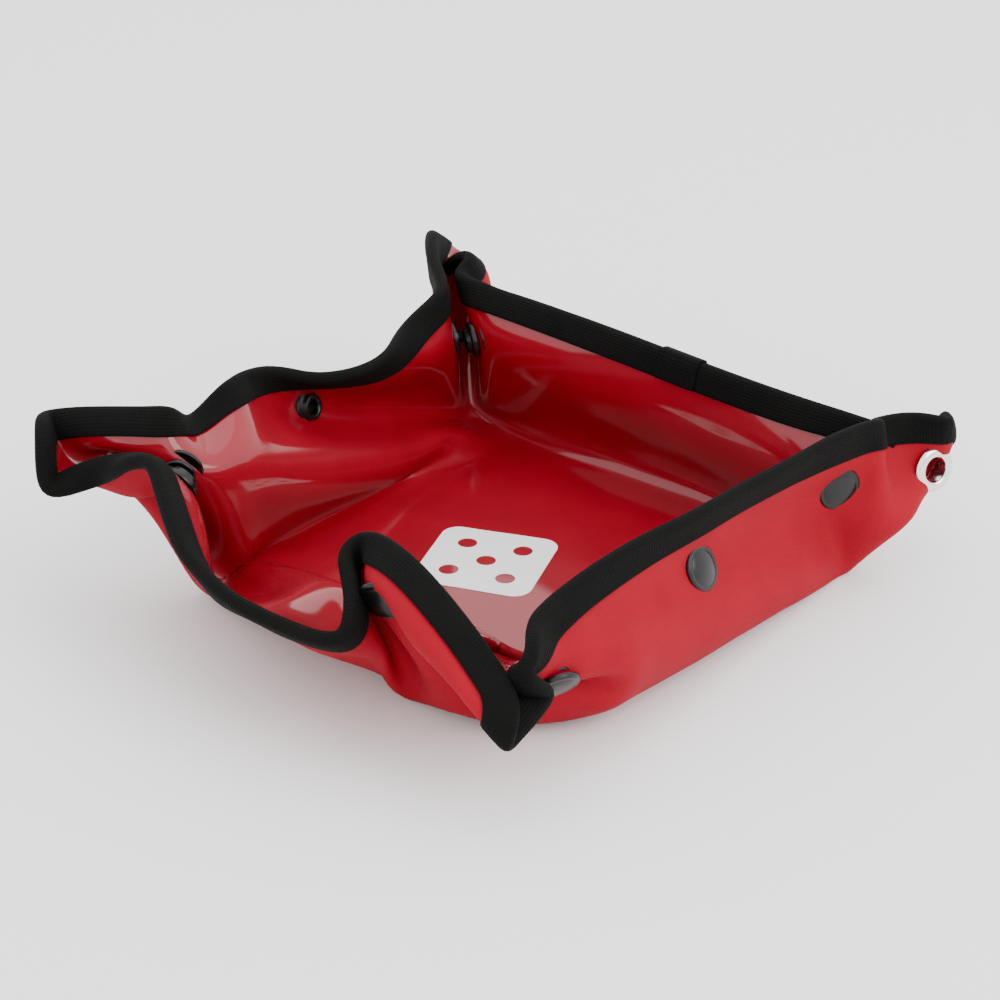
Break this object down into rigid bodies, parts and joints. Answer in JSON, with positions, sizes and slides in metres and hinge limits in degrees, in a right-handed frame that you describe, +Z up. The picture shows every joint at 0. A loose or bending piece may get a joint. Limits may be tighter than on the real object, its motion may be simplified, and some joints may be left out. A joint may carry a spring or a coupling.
{
  "type": "folding dice tray",
  "caption": "Square padded tray that folds up from a flat sheet: corner snaps pinch the walls upright round an open well.",
  "frame": {"origin": "underside of the floor, at the middle of the tray's bounding box", "axes": "+Z up; +X towards the right wall, which carries the hanging eyelet; -Y towards the front wall"},
  "size_m": [0.2172, 0.2172, 0.0475],
  "materials": {
    "outer_cover": "matte red coated fabric with a foam backing",
    "lining": "smooth glossy red waterproof coating",
    "edge_tape": "black woven binding tape",
    "snap_plastic": "glossy black",
    "eyelet_metal": "nickel plated",
    "floor_print": "white screen print"
  },
  "bodies": {
    "root": {"floor_cover": "outer_cover", "floor_lining": "lining", "floor_print": "floor_print"},
    "wall_right": {"wall_right_binding": "edge_tape", "wall_right_cap": "snap_plastic", "wall_right_cover": "outer_cover", "wall_right_lining": "lining", "wall_right_stud": "snap_plastic"},
    "ear_right_front": {"ear_right_front_binding": "edge_tape", "ear_right_front_cap": "snap_plastic", "ear_right_front_cover": "outer_cover", "ear_right_front_lining": "lining", "ear_right_front_stud": "snap_plastic"},
    "ear_right_rear": {"ear_right_rear_binding": "edge_tape", "ear_right_rear_cap": "snap_plastic", "ear_right_rear_cover": "outer_cover", "ear_right_rear_lining": "lining", "ear_right_rear_stud": "snap_plastic", "hanging_eyelet": "eyelet_metal"},
    "wall_rear": {"wall_rear_binding": "edge_tape", "wall_rear_cover": "outer_cover", "wall_rear_lining": "lining"},
    "ear_rear_right": {"ear_rear_right_binding": "edge_tape", "ear_rear_right_cap": "snap_plastic", "ear_rear_right_cover": "outer_cover", "ear_rear_right_lining": "lining", "ear_rear_right_socket": "snap_plastic"},
    "ear_rear_left": {"ear_rear_left_binding": "edge_tape", "ear_rear_left_cap": "snap_plastic", "ear_rear_left_cover": "outer_cover", "ear_rear_left_lining": "lining", "ear_rear_left_socket": "snap_plastic"},
    "wall_left": {"wall_left_binding": "edge_tape", "wall_left_cap": "snap_plastic", "wall_left_cover": "outer_cover", "wall_left_lining": "lining", "wall_left_socket": "snap_plastic"},
    "ear_left_rear": {"ear_left_rear_binding": "edge_tape", "ear_left_rear_cap": "snap_plastic", "ear_left_rear_cover": "outer_cover", "ear_left_rear_lining": "lining", "ear_left_rear_stud": "snap_plastic"},
    "ear_left_front": {"ear_left_front_binding": "edge_tape", "ear_left_front_cap": "snap_plastic", "ear_left_front_cover": "outer_cover", "ear_left_front_lining": "lining", "ear_left_front_stud": "snap_plastic"},
    "wall_front": {"wall_front_binding": "edge_tape", "wall_front_cover": "outer_cover", "wall_front_lining": "lining"},
    "ear_front_left": {"ear_front_left_binding": "edge_tape", "ear_front_left_cap": "snap_plastic", "ear_front_left_cover": "outer_cover", "ear_front_left_lining": "lining", "ear_front_left_socket": "snap_plastic"},
    "ear_front_right": {"ear_front_right_binding": "edge_tape", "ear_front_right_cap": "snap_plastic", "ear_front_right_cover": "outer_cover", "ear_front_right_lining": "lining", "ear_front_right_socket": "snap_plastic"}
  },
  "joints": [
    {"name": "wall_right_fold", "type": "hinge", "parent": "root", "child": "wall_right", "pos_m": [0.072, 0, 0.0013], "axis": [0, 1, 0], "range_deg": [0, 79]},
    {"name": "ear_right_front_fold", "type": "hinge", "parent": "wall_right", "child": "ear_right_front", "pos_m": [0.072, -0.06747, 0.0013], "axis": [-0.1736, 0, -0.9848], "range_deg": [0, 37.86]},
    {"name": "ear_right_rear_fold", "type": "hinge", "parent": "wall_right", "child": "ear_right_rear", "pos_m": [0.072, 0.06747, 0.0013], "axis": [0.1711, 0.1711, 0.9703], "range_deg": [0, 45.3]},
    {"name": "wall_rear_fold", "type": "hinge", "parent": "root", "child": "wall_rear", "pos_m": [0, 0.072, 0.0013], "axis": [-1, 0, 0], "range_deg": [0, 79]},
    {"name": "ear_rear_right_fold", "type": "hinge", "parent": "wall_rear", "child": "ear_rear_right", "pos_m": [0.06747, 0.072, 0.0013], "axis": [-0.1711, -0.1711, -0.9703], "range_deg": [0, 45.3]},
    {"name": "ear_rear_left_fold", "type": "hinge", "parent": "wall_rear", "child": "ear_rear_left", "pos_m": [-0.06747, 0.072, 0.0013], "axis": [-0.1711, 0.1711, 0.9703], "range_deg": [0, 45.3]},
    {"name": "wall_left_fold", "type": "hinge", "parent": "root", "child": "wall_left", "pos_m": [-0.072, 0, 0.0013], "axis": [0, -1, 0], "range_deg": [0, 79]},
    {"name": "ear_left_rear_fold", "type": "hinge", "parent": "wall_left", "child": "ear_left_rear", "pos_m": [-0.072, 0.06747, 0.0013], "axis": [0.1711, -0.1711, -0.9703], "range_deg": [0, 45.3]},
    {"name": "ear_left_front_fold", "type": "hinge", "parent": "wall_left", "child": "ear_left_front", "pos_m": [-0.072, -0.06747, 0.0013], "axis": [-0.1711, -0.1711, 0.9703], "range_deg": [0, 45.3]},
    {"name": "wall_front_fold", "type": "hinge", "parent": "root", "child": "wall_front", "pos_m": [0, -0.072, 0.0013], "axis": [1, 0, 0], "range_deg": [0, 79]},
    {"name": "ear_front_left_fold", "type": "hinge", "parent": "wall_front", "child": "ear_front_left", "pos_m": [-0.06747, -0.072, 0.0013], "axis": [0.1711, 0.1711, -0.9703], "range_deg": [0, 45.3]},
    {"name": "ear_front_right_fold", "type": "hinge", "parent": "wall_front", "child": "ear_front_right", "pos_m": [0.06747, -0.072, 0.0013], "axis": [0, -0.1736, 0.9848], "range_deg": [0, 37.86]}
  ],
  "couplings": [
    {"joint": "ear_right_front_fold", "follows": "wall_right_fold", "ratio": 0.47914},
    {"joint": "ear_right_rear_fold", "follows": "wall_right_fold", "ratio": 0.5733},
    {"joint": "wall_rear_fold", "follows": "wall_right_fold", "ratio": 1},
    {"joint": "ear_rear_right_fold", "follows": "wall_right_fold", "ratio": 0.5733},
    {"joint": "ear_rear_left_fold", "follows": "wall_right_fold", "ratio": 0.5733},
    {"joint": "wall_left_fold", "follows": "wall_right_fold", "ratio": 1},
    {"joint": "ear_left_rear_fold", "follows": "wall_right_fold", "ratio": 0.5733},
    {"joint": "ear_left_front_fold", "follows": "wall_right_fold", "ratio": 0.5733},
    {"joint": "wall_front_fold", "follows": "wall_right_fold", "ratio": 1},
    {"joint": "ear_front_left_fold", "follows": "wall_right_fold", "ratio": 0.5733},
    {"joint": "ear_front_right_fold", "follows": "wall_right_fold", "ratio": 0.47914}
  ]
}
